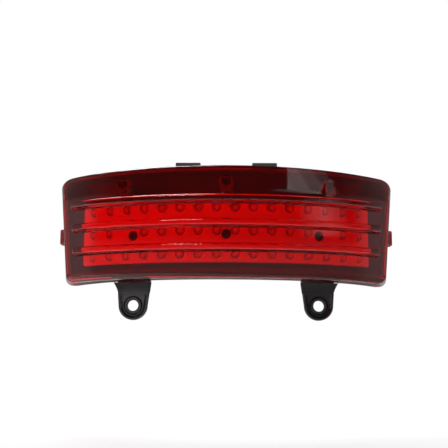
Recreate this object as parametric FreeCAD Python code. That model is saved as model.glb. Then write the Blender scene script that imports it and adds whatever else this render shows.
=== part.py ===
import FreeCAD, Part
import math
import os

from FreeCAD import Vector

# Motorcycle tail light, in millimetres. +Z is up and the lens looks towards -Y.
# The origin is midway between the two ear holes, on the ears' mounting face.

# Plan curves: the lens, the reflector and the boards bend about one upright axis,
# and the rim, the housing's back and the seal about another, further back.
FACE_AXIS_Y = 159.0
FACE_R = 200.0
PANEL_R = 180.0
BACK_AXIS_Y = 207.0
RIM_R = 220.0
BACK_R = 206.0

# Outline, seen from the front. The top and the sides open towards the back by the mould's draft.
# The bottom rises towards the back at the centre, and sags more towards the ends the further back it is.
# Bottom walls are BOTTOM_SHARE times as thick as the others.
TOP_Z = 101.3
TOP_Y = -23.5
TOP_SAG = 1.42e-4
TOP_DRAFT = 1.5
BOTTOM_Z = 17.3
BOTTOM_Y = -41.0
BOTTOM_SLOPE = 0.045
BOTTOM_SAG = 0.23e-4
BOTTOM_TWIST = 3.9e-6
BOTTOM_SHARE = 1.57
SIDE_X = 123.9
SIDE_Y = 25.0
SIDE_Z = 24.4
SIDE_FLARE = 0.076
SIDE_DRAFT = 11.0
TOP_CORNER_R = 9.0
BOTTOM_CORNER_R = 6.5
LEAST_CORNER_R = 1.5
OUTLINE_FRONT_Y = -70.0
OUTLINE_BACK_Y = 60.0
LOWEST_Z = -20.0
HIGHEST_Z = 125.0

# Lens
LENS_WALL = 3.0
LENS_SIDE_EDGE_R = 4.4
LENS_TOP_EDGE_R = 2.0
LENS_BOTTOM_EDGE_R = 1.2
BAND_START_Z = 77.0
BAND_SLOPE = math.radians(36.3)
BAND_BEND_R = 16.0
BAR_PITCH = 17.1
BAR_TOPS_Z = [41.0, 41.0 + BAR_PITCH, 41.0 + 2 * BAR_PITCH]
BAR_HALF_LENGTHS = [111.6, 113.0, 114.8]
BAR_DEPTH = 8.0
BAR_TIP_HEIGHT = 4.2
BAR_DRAFT = math.radians(9.0)
BAR_TOP_EDGE_R = 1.8
BAR_BOTTOM_EDGE_R = 0.9
BAR_END_EDGE_R = 0.8
TOWER_XS = [-75.3, 0.0, 75.3]
TOWER_R = 3.65
TOWER_TOP_Z = 90.6
TOWER_FRONT_R = 199.0
SLEEVE_SET_BACK = 9.0
SLEEVE_GAP = 0.25
SLEEVE_WALL = 1.4
LATCH_Z = (48.3, 59.8)
LATCH_OUTSIDE = [(123.6, 12.0), (125.7, 22.6), (129.0, 24.6), (129.2, 34.5)]
LATCH_INSIDE = [(127.0, 34.5), (126.9, 26.4), (125.0, 25.2), (122.0, 12.0)]
LATCH_WINDOW_Z = (50.2, 57.9)
LATCH_EDGE_R = 0.9
LATCH_WINDOW_Y = (26.9, 31.7)
CATCH_TIP_X = 128.9

# Housing
HOUSING_INSET = 0.5
HOUSING_WALL = 3.5
BACK_WALL = 2.5
GASKET_THICKNESS = 0.8
LIP_HEIGHT = 7.0
LIP_WALL = 1.6
LIP_GAP = 0.4
FIN_PROUD = 1.5
FIN_WIDTH = 1.8
FIN_XS = [-100.0, -55.0, -27.0, 27.0, 55.0, 100.0]
FIN_ZS = [30.0, 76.0]
SEAL_THICKNESS = 4.0
SEAL_WIDTH = 6.0

# LED panel
PANEL_HALF_WIDTH = 108.0
PANEL_Z = (30.4, 77.0)
PANEL_PLATE = 4.0
PANEL_DEPTH = 8.0
PANEL_WALL = 2.0
ROW_ZS = [36.4, 53.5, 70.7]
LED_PITCH = 13.3
LEDS_PER_ROW = 16
LED_R = 2.5
LED_FLANGE_R = 2.9
LED_RECESS = 0.6
CUP_R = 4.3
CUP_HOLE_R = 2.7
CUP_DEPTH = 3.4
LEAD_R = 0.3
LEAD_SPACING = 2.54
BOARD_APOTHEM = 168.6
BOARD_THICKNESS = 1.6
BOARD_Z = (32.8, 74.6)
SIDE_BOARD_ANGLE = 24.5
CENTRE_BOARD_HALF = 36.0
SIDE_BOARD_SPAN = (-36.0, 34.6)

# Fasteners
PANEL_SCREW_Z = 50.9
PANEL_SCREW_X = 68.3
PANEL_SCREW_OFFSET = -6.9
PANEL_SCREW_D = 179.8
SCREW_HEAD_R = 3.5
SCREW_SHANK_R = 1.5
LENS_SCREW_R = 1.9
LENS_SCREW_HEAD_R = 3.3

# Ears
EAR_X = 68.2
EAR_END_R = 10.6
EAR_HOLE_R = 4.0
EAR_BUSH_R = 5.1
EAR_BUSH_GAP = 0.02
EAR_RING_R = 7.0
EAR_FRONT_Y = -4.0
EAR_DISH_Y = -2.6
EAR_RIM = 3.0
EAR_RIM_R = 0.7
EAR_DISH_SLOPE = 1.6
EAR_BEND_Z = 9.4
EAR_TOP_Z = 17.0
EAR_SET_BACK = (-1.5, 2.0)
EAR_FLANGE_Z = 14.4
EAR_FLANGE_BACK_Y = 10.0
EAR_SCREW_DX = 7.5
EAR_SCREW_Y = 7.2

# Pads on the top edge
PAD_X = 28.5
PAD_WIDTH = 18.4
PAD_Z = (101.7, 105.9)
PAD_Y = (-10.2, 2.0)
PAD_SKIN = 1.4

# Wiring
GROMMET_X = -14.0
GROMMET_Z = 38.0
WIRE_R = 0.9
WIRE_BEND_R = 2.0
TERMINAL_X = (8.0, 16.0)
VENT_X = -40.0
VENT_Z = 60.0
VENT_SEAT_Y = 7.0
GROMMET_SEAT_Y = 2.4

BOARD_FRONT_Y = FACE_AXIS_Y - BOARD_APOTHEM
BOARD_BACK_Y = BOARD_FRONT_Y + BOARD_THICKNESS
BACK_INNER_R = BACK_R + BACK_WALL
FLANGE_R = RIM_R - GASKET_THICKNESS
BACK_CENTRE_Y = BACK_AXIS_Y - BACK_R
RIGHT = Vector(1, 0, 0)
BACKWARD = Vector(0, 1, 0)
UP = Vector(0, 0, 1)


# Helpers

def plan_y(radius, axis_y, x):
    """Y of an upright curved surface at a distance x from the centre plane."""
    return axis_y - math.sqrt(radius ** 2 - x ** 2)


def box(x, y, z):
    """A block between the given (low, high) pairs."""
    return Part.makeBox(x[1] - x[0], y[1] - y[0], z[1] - z[0], Vector(x[0], y[0], z[0]))


def rod(radius, start, direction, length):
    return Part.makeCylinder(radius, length, start, direction)


def drum(radius, axis_y):
    """An upright cylinder taller than the light."""
    return rod(radius, Vector(0, axis_y, LOWEST_Z), UP, HIGHEST_Z - LOWEST_Z)


def curved_slab(outer_r, inner_r, axis_y):
    """The space between two concentric upright surfaces, on the side that faces the viewer."""
    ring = drum(outer_r, axis_y).cut(drum(inner_r, axis_y))
    return ring.common(box((-outer_r, outer_r), (-outer_r, axis_y), (LOWEST_Z, HIGHEST_Z)))


def mirrored(shape):
    return shape.mirror(Vector(0, 0, 0), RIGHT)


def fuse_all(first, others):
    return first.multiFuse(others).removeSplitter()


def write(name, shapes):
    """One STEP file with each shape's solids."""
    solids = [solid for shape in shapes for solid in shape.Solids]
    shape = solids[0] if len(solids) == 1 else Part.makeCompound(solids)
    shape.exportStep("parts/" + name + ".step")


# Outline of the body

def outline(y, inset, side_draft, bottom_share):
    """The body's outline at one depth, drawn in by inset: bottom, right side, arched top, left side."""
    top = TOP_Z + (y - TOP_Y) * math.tan(math.radians(TOP_DRAFT)) - inset
    bottom = BOTTOM_Z + (y - BOTTOM_Y) * BOTTOM_SLOPE + inset * bottom_share
    sag = BOTTOM_SAG + (y - BOTTOM_Y) * BOTTOM_TWIST

    def half_width(z):
        flare = (z - SIDE_Z) * SIDE_FLARE
        return SIDE_X + flare + (y - SIDE_Y) * math.tan(math.radians(side_draft)) - inset

    top_end = top - TOP_SAG * half_width(top) ** 2
    bottom_end = bottom - sag * half_width(bottom) ** 2
    low = half_width(bottom_end)
    high = half_width(top_end)
    corners = [Vector(-low, y, bottom_end), Vector(low, y, bottom_end)]
    corners += [Vector(high, y, top_end), Vector(-high, y, top_end)]
    edges = [
        Part.Arc(corners[0], Vector(0, y, bottom), corners[1]).toShape(),
        Part.LineSegment(corners[1], corners[2]).toShape(),
        Part.Arc(corners[2], Vector(0, y, top), corners[3]).toShape(),
        Part.LineSegment(corners[3], corners[0]).toShape(),
    ]
    return Part.Wire(edges)


def outline_prism(inset, side_draft=SIDE_DRAFT, bottom_share=BOTTOM_SHARE):
    """The outline carried from well in front of the body to well behind it, with rounded corners."""
    wires = [outline(y, inset, side_draft, bottom_share) for y in (OUTLINE_FRONT_Y, OUTLINE_BACK_Y)]
    prism = Part.makeLoft(wires, True, True)
    depth = OUTLINE_BACK_Y - OUTLINE_FRONT_Y
    for radius, above in ((TOP_CORNER_R, True), (BOTTOM_CORNER_R, False)):
        middle = (TOP_Z + BOTTOM_Z) / 2
        edges = [e for e in prism.Edges if e.BoundBox.YLength > 0.9 * depth]
        edges = [e for e in edges if (e.BoundBox.Center.z > middle) == above and len(e.Vertexes) == 2]
        sharp = [e for e in edges if is_sharp(prism, e)]
        prism = prism.makeFillet(max(radius - inset, LEAST_CORNER_R), sharp)
    return prism


def is_sharp(shape, edge):
    """True where the two faces beside an edge don't run smoothly into each other."""
    faces = shape.ancestorsOfType(edge, Part.Face)
    point = edge.valueAt((edge.FirstParameter + edge.LastParameter) / 2)
    normals = [face.normalAt(*face.Surface.parameter(point)) for face in faces]
    return len(normals) == 2 and abs(normals[0].dot(normals[1])) < 0.95


# Lens

def front_block(offset):
    """Everything behind the lens's front surface moved back by offset.

    The front surface is an upright face with a sloped band over it.
    """
    face_y = FACE_AXIS_Y - FACE_R + offset
    bend_z = BAND_START_Z + offset * (1 - 1 / math.cos(BAND_SLOPE)) / math.tan(BAND_SLOPE)
    bend_r = BAND_BEND_R + offset
    reach = bend_r * math.tan(BAND_SLOPE / 2)
    back_y = FACE_AXIS_Y - FACE_R / 2
    centre = Vector(0, face_y + bend_r, bend_z - reach)
    half = BAND_SLOPE / 2
    bend_start = Vector(0, face_y, bend_z - reach)
    bend_middle = centre + Vector(0, -math.cos(half), math.sin(half)) * bend_r
    bend_end = centre + Vector(0, -math.cos(BAND_SLOPE), math.sin(BAND_SLOPE)) * bend_r
    band_end = Vector(0, back_y, bend_z + (back_y - face_y) / math.tan(BAND_SLOPE))
    low_back = Vector(0, back_y, LOWEST_Z)
    low_front = Vector(0, face_y, LOWEST_Z)
    edges = [
        Part.LineSegment(low_front, bend_start).toShape(),
        Part.Arc(bend_start, bend_middle, bend_end).toShape(),
        Part.LineSegment(bend_end, band_end).toShape(),
        Part.LineSegment(band_end, low_back).toShape(),
        Part.LineSegment(low_back, low_front).toShape(),
    ]
    return turned(Part.Face(Part.Wire(edges)))


def turned(section):
    """A section at the centre plane, turned about the face's axis past both ends of the light."""
    axis = Vector(0, FACE_AXIS_Y, 0)
    half_turn = 60
    section.rotate(axis, UP, -half_turn)
    return section.revolve(axis, UP, 2 * half_turn)


def edge_radius(vertex):
    """The radius wanted at one end of a front edge: least along the bottom and most at the sides."""
    if vertex.Z < BOTTOM_Z + LENS_SIDE_EDGE_R:
        return LENS_BOTTOM_EDGE_R
    if vertex.Z > TOP_Z - LENS_SIDE_EDGE_R:
        return LENS_TOP_EDGE_R
    return LENS_SIDE_EDGE_R


def rounded_front_edges(blank, prism):
    """The long edge where the front surface meets the side, top and bottom walls, rounded."""
    skin = prism.Shells[0]
    front = front_block(0).Shells[0]
    radii = []
    for number, edge in enumerate(blank.Edges, 1):
        middle = edge.valueAt((edge.FirstParameter + edge.LastParameter) / 2)
        point = Part.Vertex(middle)
        on_both = skin.distToShape(point)[0] < 0.01 and front.distToShape(point)[0] < 0.01
        if on_both and middle.y < FACE_AXIS_Y - FACE_R / 2 - 10:
            radii.append((number, edge_radius(edge.Vertexes[0]), edge_radius(edge.Vertexes[-1])))
    document = FreeCAD.newDocument("rounding")
    base = document.addObject("Part::Feature", "base")
    base.Shape = blank
    rounding = document.addObject("Part::Fillet", "rounded")
    rounding.Base = base
    rounding.Edges = radii
    document.recompute()
    return rounding.Shape


def bar(top_z, half_length):
    """One horizontal bar: a tapered fin with rounded front edges and ends."""
    tip_y = FACE_AXIS_Y - FACE_R - BAR_DEPTH
    root_y = FACE_AXIS_Y - FACE_R + LENS_WALL / 2
    widen = (root_y - tip_y) * math.tan(BAR_DRAFT)
    bottom_z = top_z - BAR_TIP_HEIGHT
    profile = [(root_y, bottom_z - widen), (root_y, top_z + widen), (tip_y, top_z), (tip_y, bottom_z)]
    points = [Vector(0, y, z) for y, z in profile]
    fin = turned(Part.Face(Part.makePolygon(points + points[:1])))
    tip_r = FACE_R + BAR_DEPTH
    tip_edges = [e for e in fin.Edges if tip_r - distance_from_axis(e) < 0.01 and e.Length > FACE_R]
    for radius, z in ((BAR_TOP_EDGE_R, top_z), (BAR_BOTTOM_EDGE_R, bottom_z)):
        fin = fin.makeFillet(radius, [e for e in tip_edges if abs(e.BoundBox.ZMin - z) < 0.01])
        tip_edges = [e for e in fin.Edges if tip_r - distance_from_axis(e) < 0.01 and e.Length > FACE_R]
    fin = fin.common(box((-half_length, half_length), (-60, 60), (0, TOP_Z)))
    return fin.makeFillet(BAR_END_EDGE_R, [e for e in fin.Edges if is_end_rim(e, half_length)])


def is_end_rim(edge, half_length):
    """True for the edges round a bar's flat end that stand outside the lens's face."""
    at_end = abs(abs(edge.CenterOfMass.x) - half_length) < 0.01
    return at_end and distance_from_axis(edge) > FACE_R


def distance_from_axis(edge):
    point = edge.valueAt((edge.FirstParameter + edge.LastParameter) / 2)
    return math.hypot(point.x, point.y - FACE_AXIS_Y)


def tower(x):
    """A screw tower: it rises out of the sloped band above the top bar and has an arched top."""
    centre_z = TOWER_TOP_Z - TOWER_R
    front_y = plan_y(FACE_R + BAR_DEPTH, FACE_AXIS_Y, x)
    back_y = plan_y(RIM_R, BACK_AXIS_Y, x)
    inner_y = plan_y(FACE_R - LENS_WALL, FACE_AXIS_Y, x)
    arch = rod(TOWER_R, Vector(x, front_y, centre_z), BACKWARD, inner_y + TOWER_R - front_y)
    leg = box((x - TOWER_R, x + TOWER_R), (front_y, inner_y), (BAND_START_Z - 2, centre_z))
    proud = arch.fuse(leg).common(curved_slab(TOWER_FRONT_R, FACE_R - BAR_DEPTH * 3, FACE_AXIS_Y))
    socket = rod(TOWER_R, Vector(x, inner_y - 1, centre_z), BACKWARD, back_y - inner_y + 1)
    return proud.fuse(socket)


def latch():
    """A tab that reaches back over the housing's side, with a window for the housing's catch."""
    corners = [Vector(x, y, LATCH_Z[0]) for x, y in LATCH_OUTSIDE + LATCH_INSIDE]
    tab = Part.Face(Part.makePolygon(corners + corners[:1])).extrude(Vector(0, 0, LATCH_Z[1] - LATCH_Z[0]))
    end_x, end_y = LATCH_OUTSIDE[-1]
    tab = tab.makeFillet(2.0, [e for e in tab.Edges if is_end_corner(e, end_y)])
    outer_rims = [e for e in tab.Edges if e.BoundBox.XMin > end_x - 0.3 and e.BoundBox.ZLength < 0.01]
    tab = tab.makeFillet(LATCH_EDGE_R, [e for e in outer_rims if e.BoundBox.YLength > 5])
    window = box((LATCH_INSIDE[1][0] - 2, end_x + 1), LATCH_WINDOW_Y, LATCH_WINDOW_Z)
    return tab.cut(window)


def is_end_corner(edge, end_y):
    """True for the short level edges at the latch's free end."""
    bounds = edge.BoundBox
    return abs(bounds.YMin - end_y) < 0.01 and bounds.ZLength < 0.01


def make_lens():
    prism = outline_prism(0)
    blank = prism.common(front_block(0))
    blank = rounded_front_edges(blank, prism)
    shell = blank.cut(outline_prism(LENS_WALL).common(front_block(LENS_WALL)))
    bars = [bar(z, length) for z, length in zip(BAR_TOPS_Z, BAR_HALF_LENGTHS)]
    towers = [tower(x) for x in TOWER_XS]
    tab = latch()
    lens = fuse_all(shell.cut(drum(RIM_R, BACK_AXIS_Y)), bars + towers + [tab, mirrored(tab)])
    for x in TOWER_XS:
        rim_y = plan_y(RIM_R, BACK_AXIS_Y, x)
        pilot = rod(LENS_SCREW_R + 0.05, Vector(x, rim_y - 12, TOWER_TOP_Z - TOWER_R), BACKWARD, 30)
        lens = lens.cut(pilot)
    return lens


def make_lens_gasket():
    ring = outline_prism(0.8, 0).cut(outline_prism(2.6, 0))
    return ring.common(curved_slab(RIM_R - 0.02, FLANGE_R + 0.02, BACK_AXIS_Y)).common(outline_prism(0.3))


# Housing

def housing_shell():
    """The tray itself: side walls, back wall and the lip that locates the lens."""
    outside = outline_prism(HOUSING_INSET, 0)
    body = outside.common(curved_slab(FLANGE_R, BACK_R, BACK_AXIS_Y))
    hollow = outline_prism(HOUSING_INSET + HOUSING_WALL, 0)
    hollow = hollow.common(curved_slab(RIM_R + 1, BACK_INNER_R, BACK_AXIS_Y))
    lip = outline_prism(LENS_WALL + LIP_GAP).cut(outline_prism(LENS_WALL + LIP_GAP + LIP_WALL))
    lip = lip.common(curved_slab(FLANGE_R + LIP_HEIGHT, FLANGE_R - 3, BACK_AXIS_Y))
    lip = lip.common(front_block(LENS_WALL + LIP_GAP))
    return body.cut(hollow).fuse(lip.common(outside))


def housing_fins():
    """Stiffening fins on the back."""
    skin = curved_slab(BACK_R + 0.5, BACK_R - FIN_PROUD, BACK_AXIS_Y)
    half = FIN_WIDTH / 2
    length = FIN_XS[-1]
    fins = [box((x - half, x + half), (-40, 80), FIN_ZS) for x in FIN_XS]
    fins += [box((-length, length), (-40, 80), (z - half, z + half)) for z in FIN_ZS]
    return [fin.common(skin) for fin in fins]


def lens_screw_tube(x):
    """The tube that meets a lens tower, with a sleeve round the tower's root, as (material, hole)."""
    rim_y = plan_y(RIM_R, BACK_AXIS_Y, x)
    back_y = plan_y(BACK_R, BACK_AXIS_Y, x)
    centre_z = TOWER_TOP_Z - TOWER_R
    start_y = rim_y + 0.2
    tube = rod(LENS_SCREW_HEAD_R + 1.6, Vector(x, start_y, centre_z), BACKWARD, back_y - start_y)
    bore = rod(LENS_SCREW_R + 0.2, Vector(x, start_y - 1, centre_z), BACKWARD, 40)
    recess = rod(LENS_SCREW_HEAD_R + 0.3, Vector(x, start_y + 3.8, centre_z), BACKWARD, 40)
    sleeve_start = Vector(x, plan_y(FACE_R, FACE_AXIS_Y, x) + SLEEVE_SET_BACK, centre_z)
    length = start_y + 0.5 - sleeve_start.y
    inner_r = TOWER_R + SLEEVE_GAP
    sleeve = rod(inner_r + SLEEVE_WALL, sleeve_start, BACKWARD, length)
    sleeve = sleeve.cut(rod(inner_r, sleeve_start, BACKWARD, length))
    sleeve = sleeve.common(front_block(LENS_WALL + LIP_GAP))
    return tube.fuse(sleeve), bore.fuse(recess)


def on_side_board(along, out, z):
    """A point on the right board's own axes: along it from its foot, and out from the bend axis."""
    angle = math.radians(SIDE_BOARD_ANGLE)
    x = out * math.sin(angle) + along * math.cos(angle)
    y = FACE_AXIS_Y - out * math.cos(angle) + along * math.sin(angle)
    return Vector(x, y, z)


def side_board_inward():
    """The direction from the right board towards the bend axis."""
    return on_side_board(0, 0, 0) - on_side_board(0, 1, 0)


def panel_post(start, direction):
    """The post under a panel screw, as (material, hole)."""
    post = rod(3.6, start, direction, 22).cut(drum(BACK_R + 1, BACK_AXIS_Y))
    hole = rod(SCREW_SHANK_R + 0.05, start - direction, direction, 6)
    return post, hole


def panel_posts():
    centre = panel_post(Vector(0, BOARD_BACK_Y, PANEL_SCREW_Z), BACKWARD)
    start = on_side_board(PANEL_SCREW_OFFSET, BOARD_APOTHEM - BOARD_THICKNESS, PANEL_SCREW_Z)
    side = panel_post(start, side_board_inward())
    return [centre, side, tuple(mirrored(shape) for shape in side)]


def ear_seat():
    """The flat pad and the two screw bosses over the right ear, as (material, holes)."""
    pad = box((EAR_X - 12, EAR_X + 12.6), (4.6, 9.8), (EAR_TOP_Z, EAR_TOP_Z + 4))
    holes = []
    parts = [pad]
    for x in (EAR_X - EAR_SCREW_DX, EAR_X + EAR_SCREW_DX):
        parts.append(rod(3.4, Vector(x, EAR_SCREW_Y, EAR_TOP_Z + 0.6), UP, 10.5))
        holes.append(rod(SCREW_SHANK_R + 0.05, Vector(x, EAR_SCREW_Y, EAR_TOP_Z - 1), UP, 10.4))
    seat = parts[0].multiFuse(parts[1:])
    return seat.cut(drum(BACK_R - 1.2, BACK_AXIS_Y)), holes


def catch():
    """The wedge on the housing's right side that holds the lens's latch."""
    half = SIDE_X + (LATCH_Z[0] - SIDE_Z) * SIDE_FLARE
    y_low = LATCH_WINDOW_Y[0] + 0.5
    y_high = LATCH_WINDOW_Y[1] - 0.4
    tip = CATCH_TIP_X
    points = [(half - 1.5, y_low), (half + 0.6, y_low)]
    points += [(tip, y_high - 1.2), (tip, y_high), (half - 1.5, y_high)]
    z = LATCH_WINDOW_Z[0] + 0.6
    corners = [Vector(x, y, z) for x, y in points]
    face = Part.Face(Part.makePolygon(corners + corners[:1]))
    return face.extrude(Vector(0, 0, LATCH_WINDOW_Z[1] - 0.6 - z))


def tongue(x):
    """The tongue on the housing's top that carries a pad."""
    half = PAD_WIDTH / 2 - PAD_SKIN
    depth = (PAD_Y[0] + PAD_SKIN, PAD_Y[1] - PAD_SKIN)
    return box((x - half, x + half), depth, (TOP_Z - 4, PAD_Z[1] - PAD_SKIN))


def make_rear_housing():
    tubes = [lens_screw_tube(x) for x in TOWER_XS]
    posts = panel_posts()
    seat, seat_holes = ear_seat()
    wedge = catch()
    seat_front = BACK_CENTRE_Y - 2.8
    grommet_seat = rod(8.0, Vector(GROMMET_X, seat_front, GROMMET_Z), BACKWARD, GROMMET_SEAT_Y - seat_front)
    vent_seat = rod(7.5, Vector(VENT_X, 0.6, VENT_Z), BACKWARD, VENT_SEAT_Y - 0.6)
    added = housing_fins() + [grommet_seat, vent_seat, seat, mirrored(seat), wedge, mirrored(wedge)]
    added += [tongue(-PAD_X), tongue(PAD_X)]
    added += [material for material, _ in tubes + posts]
    housing = fuse_all(housing_shell(), added)
    holes = [hole for _, hole in tubes + posts] + seat_holes + [mirrored(hole) for hole in seat_holes]
    holes.append(rod(4.6, Vector(GROMMET_X, -10, GROMMET_Z), BACKWARD, 30))
    holes.append(rod(2.5, Vector(VENT_X, -10, VENT_Z), BACKWARD, 30))
    return housing.cut(holes)


def make_fender_seal():
    inset = HOUSING_INSET + 1
    frame = outline_prism(inset, 0, 1).cut(outline_prism(inset + SEAL_WIDTH, 0, 1))
    frame = frame.common(curved_slab(BACK_R - 0.02, BACK_R - SEAL_THICKNESS, BACK_AXIS_Y))
    openings = [lens_screw_tube(x)[1] for x in TOWER_XS]
    seat = ear_seat()[0]
    return frame.cut(openings + [seat, mirrored(seat)])


# LED panel

def led_xs(row):
    """Where the LEDs of a row stand. The middle row leaves out the pair beside the outer screws."""
    places = [(i - (LEDS_PER_ROW - 1) / 2) * LED_PITCH for i in range(LEDS_PER_ROW)]
    if row == 1:
        places = [x for x in places if abs(abs(x) - PANEL_SCREW_X) > SCREW_HEAD_R + LED_R]
    return places


def panel_screw_places():
    """The head end and the inward direction of each panel screw's axis."""
    side = on_side_board(PANEL_SCREW_OFFSET, PANEL_SCREW_D, PANEL_SCREW_Z)
    inward = side_board_inward()
    return [
        (Vector(0, FACE_AXIS_Y - PANEL_R, PANEL_SCREW_Z), BACKWARD),
        (side, inward),
        (Vector(-side.x, side.y, side.z), Vector(-inward.x, inward.y, inward.z)),
    ]


def make_reflector():
    """A bent tray with a cup for each LED and a seat and standoff for each screw."""
    width = (-PANEL_HALF_WIDTH, PANEL_HALF_WIDTH)
    outside = box(width, (-60, 60), PANEL_Z)
    corners = [e for e in outside.Edges if e.BoundBox.YLength > 100]
    tray = outside.makeFillet(1.5, corners).common(curved_slab(PANEL_R, PANEL_R - PANEL_DEPTH, FACE_AXIS_Y))
    inner_x = PANEL_HALF_WIDTH - PANEL_WALL
    inner = box((-inner_x, inner_x), (-60, 60), (PANEL_Z[0] + PANEL_WALL, PANEL_Z[1] - PANEL_WALL))
    tray = tray.cut(inner.common(curved_slab(PANEL_R - PANEL_PLATE, 150, FACE_AXIS_Y)))
    tools = []
    standoffs = []
    for start, direction in panel_screw_places():
        length = PANEL_SCREW_D - BOARD_APOTHEM
        standoffs.append(rod(3.1, start + direction * 2, direction, length - 2 - 0.05))
        tools.append(rod(SCREW_SHANK_R + 0.2, start - direction * 3, direction, length + 8))
        tools.append(rod(SCREW_HEAD_R + 0.35, start - direction * 3, direction, 3 + 1.9))
    for row, z in enumerate(ROW_ZS):
        for x in led_xs(row):
            y = plan_y(PANEL_R, FACE_AXIS_Y, x)
            rim_r = CUP_R + (CUP_R - CUP_HOLE_R) / CUP_DEPTH
            tools.append(Part.makeCone(rim_r, CUP_HOLE_R, CUP_DEPTH + 1, Vector(x, y - 1, z), BACKWARD))
            tools.append(rod(CUP_HOLE_R, Vector(x, y, z), BACKWARD, 9))
    return tray.multiFuse(standoffs).cut(tools)


def board_blank(centre, tangent, span):
    """A flat upright board. Centre is the foot of the bend axis on its front, and tangent runs along it."""
    normal = UP.cross(tangent)
    low = Vector(centre.x, centre.y, BOARD_Z[0])
    corners = [low + tangent * span[0], low + tangent * span[1]]
    corners += [corners[1] + normal * BOARD_THICKNESS, corners[0] + normal * BOARD_THICKNESS]
    face = Part.Face(Part.makePolygon(corners + corners[:1]))
    return face.extrude(Vector(0, 0, BOARD_Z[1] - BOARD_Z[0]))


def make_boards():
    """The centre, right and left boards, with their screw holes."""
    span = (-CENTRE_BOARD_HALF, CENTRE_BOARD_HALF)
    centre = board_blank(Vector(0, BOARD_FRONT_Y, 0), RIGHT, span)
    foot = on_side_board(0, BOARD_APOTHEM, 0)
    tangent = on_side_board(1, BOARD_APOTHEM, 0) - foot
    right = board_blank(foot, tangent, SIDE_BOARD_SPAN)
    holes = [rod(SCREW_SHANK_R + 0.2, start, direction, 20) for start, direction in panel_screw_places()]
    centre = centre.cut(holes[0])
    right = right.cut(holes[1])
    return centre, right, mirrored(right)


def led(x, z, boards):
    """A domed LED with a flange and two straight leads that end on the board."""
    y = plan_y(PANEL_R, FACE_AXIS_Y, x)
    dome_y = y + LED_RECESS + LED_R
    dome = Part.makeSphere(LED_R, Vector(x, dome_y, z))
    body = rod(LED_R, Vector(x, dome_y, z), BACKWARD, y + 7.4 - dome_y)
    flange = rod(LED_FLANGE_R, Vector(x, y + 7.0, z), BACKWARD, 1.0)
    capsule = dome.multiFuse([body, flange])
    leads = []
    for side in (-0.5, 0.5):
        start = Vector(x + side * LEAD_SPACING, y + 7.2, z)
        lead = rod(LEAD_R, start, BACKWARD, 12)
        for board in boards:
            lead = nearest_piece(lead.cut(board), start)
        leads.append(lead)
    return capsule.multiFuse(leads).removeSplitter()


def nearest_piece(shape, point):
    """The solid of a cut rod that still holds its start."""
    vertex = Part.Vertex(point)
    return min(shape.Solids, key=lambda solid: solid.distToShape(vertex)[0])


def make_led_row(row, boards):
    return [led(x, ROW_ZS[row], boards) for x in led_xs(row)]


def pan_screw(head_at, direction, head_r, head_height, shank_r, length):
    """A pan-head screw with a cross recess. head_at is under the head, direction runs down the shank."""
    head = rod(head_r, head_at - direction * head_height, direction, head_height)
    rings = [e for e in head.Edges if len(e.Vertexes) == 1 and e.Length > 5]
    rim = [e for e in rings if (e.BoundBox.Center - head_at).dot(direction) < -head_height / 2]
    head = head.makeFillet(head_height * 0.45, rim)
    screw = head.fuse(rod(shank_r, head_at, direction, length))
    across = UP.cross(direction) if abs(direction.z) < 0.5 else RIGHT
    other = across.cross(direction)
    depth = head_height * 0.55
    for long_way, short_way in ((across, other), (other, across)):
        corner = head_at - direction * head_height - long_way * head_r * 0.55 - short_way * 0.45
        points = [corner, corner + long_way * head_r * 1.1]
        points += [points[1] + short_way * 0.9, corner + short_way * 0.9]
        slot = Part.Face(Part.makePolygon(points + points[:1])).extrude(direction * depth)
        screw = screw.cut(slot)
    return screw


def make_panel_screws():
    screws = []
    for start, direction in panel_screw_places():
        seat = start + direction * 1.9
        screws.append(pan_screw(seat, direction, SCREW_HEAD_R, 2.3, SCREW_SHANK_R, 13.0))
    return screws


def make_lens_screws():
    screws = []
    for x in TOWER_XS:
        seat_y = plan_y(RIM_R, BACK_AXIS_Y, x) + 4.0
        head_at = Vector(x, seat_y, TOWER_TOP_Z - TOWER_R)
        screws.append(pan_screw(head_at, Vector(0, -1, 0), LENS_SCREW_HEAD_R, 2.4, LENS_SCREW_R, 14.0))
    return screws


def make_board_jumper():
    """A flat flexible strip across the gap between the centre board and the right one, on their backs."""
    back = BOARD_APOTHEM - BOARD_THICKNESS
    corner_x = back * math.tan(math.radians(SIDE_BOARD_ANGLE / 2))
    thickness = 0.4
    inner_corner_x = (back - thickness) * math.tan(math.radians(SIDE_BOARD_ANGLE / 2))
    points = [
        Vector(corner_x - 7, FACE_AXIS_Y - back, 0),
        Vector(corner_x, FACE_AXIS_Y - back, 0),
        on_side_board(-corner_x + 7, back, 0),
        on_side_board(-corner_x + 7, back - thickness, 0),
        Vector(inner_corner_x, FACE_AXIS_Y - back + thickness, 0),
        Vector(corner_x - 7, FACE_AXIS_Y - back + thickness, 0),
    ]
    strip = Part.Face(Part.makePolygon(points + points[:1])).extrude(Vector(0, 0, 12))
    strip.translate(Vector(0, 0, 58))
    return strip


# Electronics on the back of the centre board

def chip(x, z, width, height, thickness):
    """A rectangular component centred at (x, z) on the board's back."""
    y = (BOARD_BACK_Y, BOARD_BACK_Y + thickness)
    block = box((x - width / 2, x + width / 2), y, (z - height / 2, z + height / 2))
    outer = [e for e in block.Edges if abs(e.BoundBox.Center.y - y[1]) < 0.01]
    return block.makeChamfer(thickness * 0.2, outer)


def make_resistors():
    return [chip(x, z, 6.4, 3.2, 0.7) for x in (-26, -17, 17, 26) for z in (66, 71)]


def make_diodes():
    return [chip(x, 57, 4.4, 2.6, 2.1) for x in (10, 17, 24)]


def make_regulator():
    body = chip(20, 49, 6.6, 6.1, 2.3)
    tab = box((17.4, 22.6), (BOARD_BACK_Y, BOARD_BACK_Y + 0.9), (52.05, 53.6))
    return body.fuse(tab)


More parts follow.
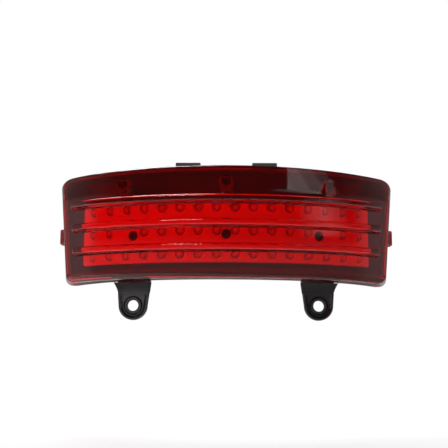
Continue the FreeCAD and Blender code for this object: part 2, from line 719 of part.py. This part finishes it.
def make_capacitor():
    base = chip(-22, 51, 6.6, 6.6, 0.9)
    can = rod(3.0, Vector(-22, BOARD_BACK_Y + 0.9, 51), BACKWARD, 4.4)
    rings = [e for e in can.Edges if len(e.Vertexes) == 1]
    top = [e for e in rings if abs(e.BoundBox.Center.y - BOARD_BACK_Y - 5.3) < 0.01]
    return base.fuse(can.makeFillet(0.5, top))


def make_wire_terminal():
    block = box(TERMINAL_X, (BOARD_BACK_Y, BOARD_BACK_Y + 5.0), (GROMMET_Z - 5, GROMMET_Z + 5))
    upright = [e for e in block.Edges if e.BoundBox.ZLength > 9 and e.BoundBox.Center.y > BOARD_BACK_Y + 4]
    return block.makeChamfer(0.6, [e for e in upright if e.BoundBox.Center.x > sum(TERMINAL_X) / 2])


def lead_wire(run_y, offset_x, offset_z):
    """A wire that runs from the terminal along the board and turns out through the grommet."""
    z = GROMMET_Z + offset_z
    x = GROMMET_X + offset_x
    start = Vector(TERMINAL_X[0], run_y, z)
    bend_start = Vector(x + WIRE_BEND_R, run_y, z)
    bend_end = Vector(x, run_y + WIRE_BEND_R, z)
    half = math.sqrt(0.5) * WIRE_BEND_R
    bend_middle = Vector(x + WIRE_BEND_R - half, run_y + WIRE_BEND_R - half, z)
    end = Vector(x, BACK_CENTRE_Y + 3.8, z)
    path = Part.Wire([
        Part.LineSegment(start, bend_start).toShape(),
        Part.Arc(bend_start, bend_middle, bend_end).toShape(),
        Part.LineSegment(bend_end, end).toShape(),
    ])
    section = Part.Wire(Part.makeCircle(WIRE_R, start, Vector(-1, 0, 0)))
    return path.makePipeShell([section], True, False)


def make_cable_grommet():
    """A rubber sleeve with a groove for the housing's wall and a wide outer collar."""
    front = BACK_CENTRE_Y - 2.8
    back = GROMMET_SEAT_Y
    end = BACK_CENTRE_Y + 3.8
    profile = [(2.15, front - 1.1), (6.0, front - 1.1), (6.0, front), (4.58, front), (4.58, back)]
    profile += [(6.8, back), (6.4, end - 0.8), (5.2, end), (2.15, end)]
    points = [Vector(GROMMET_X + r, y, GROMMET_Z) for r, y in profile]
    section = Part.Face(Part.makePolygon(points + points[:1]))
    return section.revolve(Vector(GROMMET_X, 0, GROMMET_Z), BACKWARD, 360)


def make_vent_cap():
    """A mushroom plug whose stem fills the breather hole and is hollow."""
    seat = VENT_SEAT_Y
    profile = [(1.2, seat - 4.6), (2.45, seat - 4.6), (2.45, seat), (6.0, seat), (6.0, seat + 1.4)]
    profile += [(5.0, seat + 2.3), (0.0, seat + 2.3), (0.0, seat + 1.2), (1.2, seat + 1.2)]
    points = [Vector(VENT_X + r, y, VENT_Z) for r, y in profile]
    section = Part.Face(Part.makePolygon(points + points[:1]))
    return section.revolve(Vector(VENT_X, 0, VENT_Z), BACKWARD, 360)


def make_vent_membrane():
    return rod(4.2, Vector(VENT_X, 0.25, VENT_Z), BACKWARD, 0.3)


# Ears

def ear_outline(inset, top_z):
    """The right ear's outline at its mounting face: round end, straight inner edge, flared outer edge."""
    end_r = EAR_END_R - inset
    inner_top = Vector(EAR_X - 12.9 + inset, 0, top_z)
    inner_low = Vector(EAR_X - end_r, 0, 0)
    outer_low = Vector(EAR_X + end_r, 0, 0)
    outer_high = Vector(EAR_X + 11.3 - inset, 0, EAR_BEND_Z)
    outer_top = Vector(EAR_X + 14.9 - inset, 0, top_z)
    bottom = Vector(EAR_X, 0, -end_r)
    flare = Vector(EAR_X + 12.6 - inset, 0, EAR_BEND_Z + 0.45 * (top_z - EAR_BEND_Z))
    return Part.Face(Part.Wire([
        Part.Arc(inner_low, bottom, outer_low).toShape(),
        Part.LineSegment(outer_low, outer_high).toShape(),
        Part.Arc(outer_high, flare, outer_top).toShape(),
        Part.LineSegment(outer_top, inner_top).toShape(),
        Part.LineSegment(inner_top, inner_low).toShape(),
    ]))


def ear_dish():
    """The hollow in the ear's front, with sloped sides."""
    front = ear_outline(EAR_RIM - EAR_DISH_SLOPE, EAR_TOP_Z).OuterWire
    floor = ear_outline(EAR_RIM, EAR_TOP_Z).OuterWire
    front.translate(Vector(0, EAR_FRONT_Y, 0))
    floor.translate(Vector(0, EAR_DISH_Y, 0))
    return Part.makeLoft([front, floor], True, True)


def make_ear():
    """The right ear: a dished plate with a ringed hole, a step back and a flange under the housing."""
    whole = ear_outline(0, EAR_TOP_Z).extrude(Vector(0, 40, 0))
    whole.translate(Vector(0, -20, 0))
    wide = (EAR_X - 20, EAR_X + 20)
    plate = whole.common(box(wide, (EAR_FRONT_Y, 0), (-20, EAR_BEND_Z)))
    front_edges = [e for e in plate.Edges if e.BoundBox.YMax < EAR_FRONT_Y + 0.01]
    plate = plate.makeFillet(EAR_RIM_R, [e for e in front_edges if e.BoundBox.ZMin < EAR_BEND_Z - 1])
    dish = ear_dish().common(box(wide, (-20, 0), (-20, EAR_BEND_Z - 1.4)))
    foot = Part.makeCone(EAR_RING_R - 1.2, EAR_RING_R, 1.2, Vector(EAR_X, EAR_DISH_Y - 1.2, 0), BACKWARD)
    ring = foot.fuse(rod(EAR_RING_R, Vector(EAR_X, EAR_DISH_Y, 0), BACKWARD, 1))
    upper = whole.common(box(wide, EAR_SET_BACK, (EAR_BEND_Z - 2.0, EAR_TOP_Z)))
    flange_x = (EAR_X - 12, EAR_X + 12)
    flange = box(flange_x, (EAR_SET_BACK[0], EAR_FLANGE_BACK_Y), (EAR_FLANGE_Z, EAR_TOP_Z))
    back_corners = [e for e in flange.Edges if e.BoundBox.ZLength > 2 and e.BoundBox.Center.y > 5]
    flange = flange.makeFillet(2.5, back_corners)
    step = whole.common(box(flange_x, (EAR_SET_BACK[0], 0.0), (EAR_BEND_Z - 2.0, EAR_BEND_Z)))
    upper = upper.cut(box(wide, (0, 5), (-20, EAR_BEND_Z - 0.01)))
    ear = fuse_all(plate.cut(dish), [ring, upper, flange, step])
    holes = [rod(EAR_BUSH_R + EAR_BUSH_GAP, Vector(EAR_X, -10, 0), BACKWARD, 20)]
    for x in (EAR_X - EAR_SCREW_DX, EAR_X + EAR_SCREW_DX):
        holes.append(rod(SCREW_SHANK_R + 0.2, Vector(x, EAR_SCREW_Y, 0), UP, 30))
    return ear.cut(holes)


def make_ear_bushing():
    sleeve = rod(EAR_BUSH_R, Vector(EAR_X, EAR_FRONT_Y + 0.1, 0), BACKWARD, -EAR_FRONT_Y - 0.1)
    return sleeve.cut(rod(EAR_HOLE_R, Vector(EAR_X, -10, 0), BACKWARD, 20))


def make_ear_screws():
    screws = []
    for x in (EAR_X - EAR_SCREW_DX, EAR_X + EAR_SCREW_DX):
        screws.append(pan_screw(Vector(x, EAR_SCREW_Y, EAR_FLANGE_Z), UP, 3.2, 2.0, SCREW_SHANK_R, 11.0))
    return screws + [mirrored(screw) for screw in screws]


def make_top_pad(x):
    """A rubber cap over a tongue."""
    half = PAD_WIDTH / 2
    cap = box((x - half, x + half), PAD_Y, PAD_Z)
    upper = [e for e in cap.Edges if e.BoundBox.Center.z > PAD_Z[1] - 0.01]
    cap = cap.makeFillet(0.6, upper)
    skin = PAD_SKIN - 0.03
    width = (x - half + skin, x + half - skin)
    pocket = box(width, (PAD_Y[0] + skin, PAD_Y[1] - skin), (90, PAD_Z[1] - skin))
    return cap.cut(pocket)


def main():
    os.makedirs("parts", exist_ok=True)
    boards = make_boards()
    ear = make_ear()
    bushing = make_ear_bushing()
    jumper = make_board_jumper()
    write("lens", [make_lens()])
    write("lens_gasket", [make_lens_gasket()])
    write("rear_housing", [make_rear_housing()])
    write("fender_seal", [make_fender_seal()])
    write("reflector", [make_reflector()])
    for name, board in zip(("centre", "right", "left"), boards):
        write("led_board_" + name, [board])
    for row, name in enumerate(("bottom", "middle", "top")):
        write("led_row_" + name, make_led_row(row, boards))
    write("board_jumper_right", [jumper])
    write("board_jumper_left", [mirrored(jumper)])
    write("resistors", make_resistors())
    write("diodes", make_diodes())
    write("regulator", [make_regulator()])
    write("capacitor", [make_capacitor()])
    write("wire_terminal", [make_wire_terminal()])
    write("lead_wire_ground", [lead_wire(BOARD_BACK_Y + 2.5, 0.0, 1.15)])
    write("lead_wire_running", [lead_wire(BOARD_BACK_Y + 1.4, -1.0, -0.58)])
    write("lead_wire_brake", [lead_wire(BOARD_BACK_Y + 3.6, 1.0, -0.58)])
    write("cable_grommet", [make_cable_grommet()])
    write("vent_cap", [make_vent_cap()])
    write("vent_membrane", [make_vent_membrane()])
    write("panel_screws", make_panel_screws())
    write("lens_screws", make_lens_screws())
    write("mounting_ear_right", [ear])
    write("mounting_ear_left", [mirrored(ear)])
    write("ear_bushing_right", [bushing])
    write("ear_bushing_left", [mirrored(bushing)])
    write("ear_screws", make_ear_screws())
    write("top_pad_right", [make_top_pad(PAD_X)])
    write("top_pad_left", [make_top_pad(-PAD_X)])


main()
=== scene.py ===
import math

import bpy
from mathutils import Matrix, Vector


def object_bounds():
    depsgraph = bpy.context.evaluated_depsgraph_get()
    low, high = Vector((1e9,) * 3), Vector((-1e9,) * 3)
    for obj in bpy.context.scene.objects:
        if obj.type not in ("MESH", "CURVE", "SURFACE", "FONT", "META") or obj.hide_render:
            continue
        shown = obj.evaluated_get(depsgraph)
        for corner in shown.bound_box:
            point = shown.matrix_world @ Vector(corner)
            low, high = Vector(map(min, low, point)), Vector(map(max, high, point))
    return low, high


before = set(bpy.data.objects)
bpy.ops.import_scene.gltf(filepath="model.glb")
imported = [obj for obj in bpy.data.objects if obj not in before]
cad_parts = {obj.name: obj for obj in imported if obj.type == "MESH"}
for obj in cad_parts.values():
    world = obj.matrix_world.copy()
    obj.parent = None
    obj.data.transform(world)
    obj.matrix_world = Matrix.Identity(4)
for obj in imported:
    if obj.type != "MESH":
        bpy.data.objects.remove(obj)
cad_low, cad_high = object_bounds()
scene = bpy.context.scene


# A motorcycle tail light. Every piece is the CAD's own mesh with a material, on a white floor,
# with lamps and a camera placed to match the photograph.

# Sockets of the Mix node, which keeps numbers and colours apart
MIX_SHARE = 0
MIX_NUMBERS = (2, 3)
MIX_COLOURS = (6, 7)
MIX_NUMBER_OUT = 0
MIX_COLOUR_OUT = 2

# The lens's plastic, and how fine every grain is
LENS_TINT = (0.93, 0.004, 0.006)
LENS_ROUGH = (0.03, 0.06)
LENS_IOR = 1.49
LENS_CLEARNESS = 0.99
LENS_GRAIN = 60.0
LENS_RIPPLE = 0.03
LENS_RIPPLE_DEPTH = 0.0004
LENS_DARKER_SHARE = 0.96
GRAIN_DETAIL = 3.0

# The floor, in metres: how far it lies below the part, how far it reaches and where it ends behind the part.
# Then its grey when seen through the lens, and the share of plain white that the camera sees in it.
FLOOR_DROP = 0.08
FLOOR_REACH = 6.0
FLOOR_END = 0.33
FLOOR_THROUGH_LENS = (0.5, 0.5, 0.5)
FLOOR_GLOW_TO_CAMERA = 0.75

# How bright the part sees each side of the room, where 1 is white. SEEN_THROUGH is the share of that
# which is left when it is seen through the lens.
FRONT_LOW = 0.36
FRONT_HIGH = 0.04
LEFT_SIDE = 0.8
RIGHT_SIDE = 0.7
BACK = 0.5
UNDER_BACK = 0.1
SEEN_THROUGH = 0.7

# Where the sides of the room blend into each other. Each is a range of how far a direction from the part
# points up, sideways or to the back, where 1 is all the way.
FRONT_EDGE = (0.105, 0.130)
CEILING_EDGE = (0.25, 0.83)
SIDE_EDGE = (0.90, 0.97)
LEFT_TO_RIGHT = (-0.5, 0.5)
BACK_EDGE = (-0.35, 0.1)
UNDER_BACK_WIDTH = (0.15, 0.3)
UNDER_BACK_TOP = (0.06, 0.12)
UNDER_BACK_START = (0.0, 0.5)

# Just over 1, so that straight up and straight down don't divide by zero
OVER_ONE = 1.0001

# The brightness of a soft lamp's strips, as shares of its middle one
STRIP_SHARES = (0.2, 0.45, 0.75, 1.0, 0.75, 0.45, 0.2)

# The camera, in metres, millimetres and degrees. It looks a little upwards.
CAMERA_PLACE = (0, -0.605, -0.030)
CAMERA_TURN = 0.151
CAMERA_TILT = 8.575
CAMERA_ROLL = 0.25
CAMERA_SENSOR = 36.0
CAMERA_LENS = 65.61
CAMERA_CLIP = (0.05, 30.0)


# Sums on the nodes of a shader

def ramp(tree, socket, low, high, edge=(0.0, 1.0)):
    """Low before the edge, high after it, and a straight blend inside it."""
    start, end = edge
    node = tree.nodes.new("ShaderNodeMapRange")
    node.inputs["From Min"].default_value = start
    node.inputs["From Max"].default_value = end
    node.inputs["To Min"].default_value = low
    node.inputs["To Max"].default_value = high
    tree.links.new(socket, node.inputs["Value"])
    return node.outputs["Result"]


def fill_slot(tree, slot, value):
    """Set a socket to a number, or link another socket to it."""
    if isinstance(value, (int, float)):
        slot.default_value = value
    else:
        tree.links.new(value, slot)


def calculate(tree, operation, *values):
    """The result of one sum on numbers or sockets."""
    node = tree.nodes.new("ShaderNodeMath")
    node.operation = operation
    for slot, value in zip(node.inputs, values):
        fill_slot(tree, slot, value)
    return node.outputs["Value"]


def blend(tree, share, under, over):
    """Under where the share is 0, over where it is 1."""
    node = tree.nodes.new("ShaderNodeMix")
    for slot, value in zip((MIX_SHARE, *MIX_NUMBERS), (share, under, over)):
        fill_slot(tree, node.inputs[slot], value)
    return node.outputs[MIX_NUMBER_OUT]


def mix_shaders(tree, share, under, over):
    """The shader under where the share is 0, and the one over where it is 1."""
    node = tree.nodes.new("ShaderNodeMixShader")
    for slot, socket in zip(node.inputs, (share, under, over)):
        tree.links.new(socket, slot)
    return node.outputs["Shader"]


# Materials

def new_material(name):
    """A material with no nodes yet, and its node tree."""
    material = bpy.data.materials.new(name)
    material.use_nodes = True
    tree = material.node_tree
    tree.nodes.clear()
    return material, tree


def grain(tree, scale):
    """Noise in the piece's own coordinates."""
    place = tree.nodes.new("ShaderNodeTexCoord")
    noise = tree.nodes.new("ShaderNodeTexNoise")
    noise.inputs["Scale"].default_value = scale
    noise.inputs["Detail"].default_value = GRAIN_DETAIL
    tree.links.new(place.outputs["Object"], noise.inputs["Vector"])
    return noise.outputs["Fac"]


def bump(tree, socket, strength, distance):
    """A surface direction that makes the grain look like relief."""
    node = tree.nodes.new("ShaderNodeBump")
    node.inputs["Strength"].default_value = strength
    node.inputs["Distance"].default_value = distance
    tree.links.new(socket, node.inputs["Height"])
    return node.outputs["Normal"]


def shade(tree, socket, dark, light):
    """A colour that wanders between two close tones."""
    mix = tree.nodes.new("ShaderNodeMix")
    mix.data_type = "RGBA"
    for slot, colour in zip(MIX_COLOURS, (dark, light)):
        mix.inputs[slot].default_value = (*colour, 1)
    tree.links.new(socket, mix.inputs[MIX_SHARE])
    return mix.outputs[MIX_COLOUR_OUT]


def solid(name, dark, light, rough, scale=400.0, metal=0.0, bumps=0.05, distance=0.0001, coat=0.0):
    """An opaque finish with wandering tone, roughness and relief."""
    material, tree = new_material(name)
    noise = grain(tree, scale)
    shader = tree.nodes.new("ShaderNodeBsdfPrincipled")
    shader.inputs["Metallic"].default_value = metal
    shader.inputs["Coat Weight"].default_value = coat
    tree.links.new(shade(tree, noise, dark, light), shader.inputs["Base Color"])
    tree.links.new(ramp(tree, noise, *rough), shader.inputs["Roughness"])
    tree.links.new(bump(tree, noise, bumps, distance), shader.inputs["Normal"])
    out = tree.nodes.new("ShaderNodeOutputMaterial")
    tree.links.new(shader.outputs["BSDF"], out.inputs["Surface"])
    return material


def red_lens():
    """Clear red plastic, which bends light and lets lamps through as a tint."""
    material, tree = new_material("red_lens")
    noise = grain(tree, LENS_GRAIN)
    darker = tuple(channel * LENS_DARKER_SHARE for channel in LENS_TINT)
    glass = tree.nodes.new("ShaderNodeBsdfPrincipled")
    glass.inputs["Transmission Weight"].default_value = LENS_CLEARNESS
    glass.inputs["IOR"].default_value = LENS_IOR
    tree.links.new(shade(tree, noise, darker, LENS_TINT), glass.inputs["Base Color"])
    tree.links.new(ramp(tree, noise, *LENS_ROUGH), glass.inputs["Roughness"])
    tree.links.new(bump(tree, noise, LENS_RIPPLE, LENS_RIPPLE_DEPTH), glass.inputs["Normal"])
    clear = tree.nodes.new("ShaderNodeBsdfTransparent")
    # Light passes two faces of the wall, and each takes the tint's square root
    clear.inputs["Color"].default_value = (*(math.sqrt(channel) for channel in LENS_TINT), 1)
    rays = tree.nodes.new("ShaderNodeLightPath")
    either = mix_shaders(tree, rays.outputs["Is Shadow Ray"], glass.outputs["BSDF"], clear.outputs["BSDF"])
    out = tree.nodes.new("ShaderNodeOutputMaterial")
    tree.links.new(either, out.inputs["Surface"])
    return material


def dress(material, *names):
    """Give the named pieces this material and no other."""
    for name in names:
        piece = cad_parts[name]
        piece.data.materials.clear()
        piece.data.materials.append(material)


# Each finish below has a dark and a light tone, then its range of roughness

# Lens, housing and seals

dress(red_lens(), "lens")
dress(
    solid("gasket_rubber", (0.012, 0.012, 0.012), (0.03, 0.03, 0.03), (0.6, 0.8)),
    "lens_gasket", "cable_grommet",
)
dress(
    solid("housing_plastic", (0.072, 0.071, 0.070), (0.088, 0.087, 0.086), (0.4, 0.5)),
    "rear_housing", "vent_cap",
)
dress(
    solid(
        "seal_foam", (0.02, 0.02, 0.02), (0.05, 0.05, 0.052), (0.85, 0.95),
        scale=1500.0, bumps=0.5, distance=0.0003,
    ),
    "fender_seal",
)
dress(
    solid("membrane_cloth", (0.75, 0.75, 0.75), (0.85, 0.85, 0.85), (0.8, 0.9), scale=3000.0),
    "vent_membrane",
)

# Panel, LEDs and electronics

dress(
    solid("panel_plastic", (0.76, 0.75, 0.74), (0.84, 0.83, 0.82), (0.35, 0.5), scale=200.0),
    "reflector",
)
dress(
    solid("led_resin", (0.74, 0.72, 0.71), (0.82, 0.80, 0.79), (0.1, 0.18)),
    "led_row_top", "led_row_middle", "led_row_bottom",
)
dress(
    solid("board_laminate", (0.02, 0.13, 0.05), (0.03, 0.18, 0.08), (0.35, 0.5)),
    "led_board_centre", "led_board_left", "led_board_right",
)
dress(
    solid("flex_film", (0.42, 0.2, 0.05), (0.52, 0.28, 0.08), (0.3, 0.4)),
    "board_jumper_left", "board_jumper_right",
)
dress(
    solid("chip_black", (0.015, 0.015, 0.015), (0.03, 0.03, 0.03), (0.5, 0.65)),
    "resistors", "diodes", "regulator",
)
dress(
    solid("can_aluminium", (0.7, 0.7, 0.72), (0.8, 0.8, 0.82), (0.3, 0.4), metal=1.0),
    "capacitor",
)
dress(solid("terminal_plastic", (0.72, 0.7, 0.64), (0.8, 0.78, 0.72), (0.5, 0.6)), "wire_terminal")
dress(solid("wire_black", (0.015, 0.015, 0.015), (0.03, 0.03, 0.03), (0.4, 0.5)), "lead_wire_ground")
dress(solid("wire_blue", (0.02, 0.06, 0.35), (0.03, 0.09, 0.45), (0.4, 0.5)), "lead_wire_running")
dress(solid("wire_red", (0.4, 0.015, 0.015), (0.5, 0.03, 0.03), (0.4, 0.5)), "lead_wire_brake")

# Ears, pads and screws

dress(
    solid("black_screw", (0.012, 0.012, 0.012), (0.03, 0.03, 0.03), (0.25, 0.4), coat=0.2),
    "panel_screws", "lens_screws",
)
dress(
    solid("ear_black", (0.004, 0.004, 0.005), (0.009, 0.009, 0.010), (0.05, 0.09), scale=150.0),
    "mounting_ear_left", "mounting_ear_right",
)
dress(
    solid("bushing_black", (0.01, 0.01, 0.01), (0.02, 0.02, 0.02), (0.15, 0.25)),
    "ear_bushing_left", "ear_bushing_right",
)
dress(solid("plated_screw", (0.5, 0.5, 0.48), (0.62, 0.62, 0.6), (0.25, 0.35), metal=1.0), "ear_screws")
dress(
    solid("pad_rubber", (0.042, 0.044, 0.043), (0.060, 0.062, 0.061), (0.55, 0.7), scale=700.0, bumps=0.2),
    "top_pad_left", "top_pad_right",
)


# Stage, lamps and camera

def set_apart(material):
    """Make a surface nearly white to the camera, and grey where it is seen through the lens."""
    tree = material.node_tree
    out = tree.nodes["Material Output"]
    paint = out.inputs["Surface"].links[0].from_socket
    grey = tree.nodes.new("ShaderNodeBsdfDiffuse")
    grey.inputs["Color"].default_value = (*FLOOR_THROUGH_LENS, 1)
    glow = tree.nodes.new("ShaderNodeEmission")
    glow.inputs["Color"].default_value = (1, 1, 1, 1)
    rays = tree.nodes.new("ShaderNodeLightPath")
    glow_share = calculate(tree, "MULTIPLY", rays.outputs["Is Camera Ray"], FLOOR_GLOW_TO_CAMERA)
    look = mix_shaders(tree, rays.outputs["Is Transmission Ray"], paint, grey.outputs["BSDF"])
    look = mix_shaders(tree, glow_share, look, glow.outputs["Emission"])
    tree.links.new(look, out.inputs["Surface"])


def make_floor():
    """A white table that ends a little behind the part."""
    z = cad_low.z - FLOOR_DROP
    left, right = -FLOOR_REACH, FLOOR_REACH
    front, back = -FLOOR_REACH, FLOOR_END
    corners = [(left, front, z), (right, front, z), (right, back, z), (left, back, z)]
    mesh = bpy.data.meshes.new("floor")
    mesh.from_pydata(corners, [], [(0, 1, 2, 3)])
    floor = bpy.data.objects.new("floor", mesh)
    scene.collection.objects.link(floor)
    paint = solid("floor_paint", (0.93, 0.93, 0.93), (0.95, 0.95, 0.95), (0.8, 0.9), scale=3.0)
    set_apart(paint)
    mesh.materials.append(paint)


def make_lamp(name, place, target, size, radiance, mirrored=True):
    """A rectangular softbox. It isn't seen through the lens, and shows in reflections only if mirrored."""
    width, height = size
    data = bpy.data.lights.new(name, "AREA")
    data.shape = "RECTANGLE"
    data.size = width
    data.size_y = height
    data.energy = radiance * math.pi * width * height
    lamp = bpy.data.objects.new(name, data)
    lamp.location = place
    lamp.rotation_euler = (Vector(target) - Vector(place)).to_track_quat("-Z", "Y").to_euler()
    lamp.visible_glossy = mirrored
    lamp.visible_transmission = False
    scene.collection.objects.link(lamp)


def make_soft_lamp(name, place, target, size, radiance):
    """A softbox in upright strips, which grows dim towards both sides."""
    place = Vector(place)
    reach = Vector(target) - place
    across = reach.to_track_quat("-Z", "Y") @ Vector((1, 0, 0))
    width, height = size
    strip = width / len(STRIP_SHARES)
    for index, share in enumerate(STRIP_SHARES):
        centre = place + across * strip * (index + 0.5 - len(STRIP_SHARES) / 2)
        make_lamp(f"{name}_{index}", centre, centre + reach, (strip, height), radiance * share)


def make_world():
    """A background that is white to the camera.

    The part sees a grey front and darkness above it, paler sides, and a paler back with a dark patch
    low in its middle. All of it is dimmer through the lens.
    """
    world = bpy.data.worlds.new("studio")
    scene.world = world
    world.use_nodes = True
    tree = world.node_tree
    tree.nodes.clear()
    place = tree.nodes.new("ShaderNodeTexCoord")
    axes = tree.nodes.new("ShaderNodeSeparateXYZ")
    tree.links.new(place.outputs["Generated"], axes.inputs["Vector"])
    x, y, z = axes.outputs
    level_part = calculate(tree, "SUBTRACT", OVER_ONE, calculate(tree, "MULTIPLY", z, z))
    level_length = calculate(tree, "SQRT", level_part)
    sideways = calculate(tree, "DIVIDE", calculate(tree, "ABSOLUTE", x), level_length)
    below_ceiling = ramp(tree, z, 1.0, 0.0, CEILING_EDGE)
    beside = calculate(tree, "MULTIPLY", ramp(tree, sideways, 0.0, 1.0, SIDE_EDGE), below_ceiling)
    behind = calculate(tree, "MULTIPLY", ramp(tree, y, 0.0, 1.0, BACK_EDGE), below_ceiling)
    room = ramp(tree, z, FRONT_LOW, FRONT_HIGH, FRONT_EDGE)
    room = blend(tree, beside, room, ramp(tree, x, LEFT_SIDE, RIGHT_SIDE, LEFT_TO_RIGHT))
    room = blend(tree, behind, room, BACK)
    middle = ramp(tree, sideways, 1.0, 0.0, UNDER_BACK_WIDTH)
    under = calculate(tree, "MULTIPLY", middle, ramp(tree, z, 1.0, 0.0, UNDER_BACK_TOP))
    under = calculate(tree, "MULTIPLY", under, ramp(tree, y, 0.0, 1.0, UNDER_BACK_START))
    room = blend(tree, under, room, UNDER_BACK)
    rays = tree.nodes.new("ShaderNodeLightPath")
    dimmed = calculate(tree, "MULTIPLY", room, SEEN_THROUGH)
    room = blend(tree, rays.outputs["Is Transmission Ray"], room, dimmed)
    room = blend(tree, rays.outputs["Is Camera Ray"], room, 1.0)
    background = tree.nodes.new("ShaderNodeBackground")
    background.inputs["Color"].default_value = (1, 1, 1, 1)
    tree.links.new(room, background.inputs["Strength"])
    out = tree.nodes.new("ShaderNodeOutputWorld")
    tree.links.new(background.outputs["Background"], out.inputs["Surface"])


def make_camera():
    """The photograph's viewpoint."""
    data = bpy.data.cameras.new("camera")
    data.sensor_width = CAMERA_SENSOR
    data.lens = CAMERA_LENS
    data.clip_start, data.clip_end = CAMERA_CLIP
    camera = bpy.data.objects.new("camera", data)
    turn = Matrix.Rotation(math.radians(CAMERA_TURN), 4, "Z")
    tilt = Matrix.Rotation(math.radians(90 + CAMERA_TILT), 4, "X")
    roll = Matrix.Rotation(math.radians(CAMERA_ROLL), 4, "Z")
    camera.matrix_world = Matrix.Translation(CAMERA_PLACE) @ turn @ tilt @ roll
    scene.collection.objects.link(camera)
    scene.camera = camera


make_floor()
make_world()
make_camera()

# Each lamp has the place where it stands and the point that it faces, in metres
make_lamp("key", (-0.45, -0.95, 1.05), (0, 0, 0.05), size=(0.46, 0.12), radiance=30.0)
make_lamp("fill_left", (-1.3, -0.42, 0.0), (-0.06, 0, 0.05), size=(0.5, 0.5), radiance=19.0, mirrored=False)
make_lamp("fill_right", (1.3, -0.42, -0.1), (0.06, 0, 0.05), size=(0.5, 0.5), radiance=14.0, mirrored=False)
make_soft_lamp("overhead_right", (0.46, -0.1, 0.95), (0, 0, 0.09), size=(0.50, 0.28), radiance=1.25)
make_lamp("overhead_left", (-0.25, 0.42, 0.95), (0, 0, 0.09), size=(0.28, 0.6), radiance=9.0)
make_soft_lamp("front_right", (0.94, -0.82, 0.35), (0, 0, 0.06), size=(0.54, 0.28), radiance=0.85)
make_lamp("ear_light", (-0.247, -1.6, 0.081), (-0.068, 0, 0), size=(0.08, 0.07), radiance=1.2)
make_lamp("backdrop", (0, 1.1, 1.3), (0, 0.1, -0.09), size=(1.2, 0.8), radiance=9.0, mirrored=False)
scene.view_settings.view_transform = "Standard"
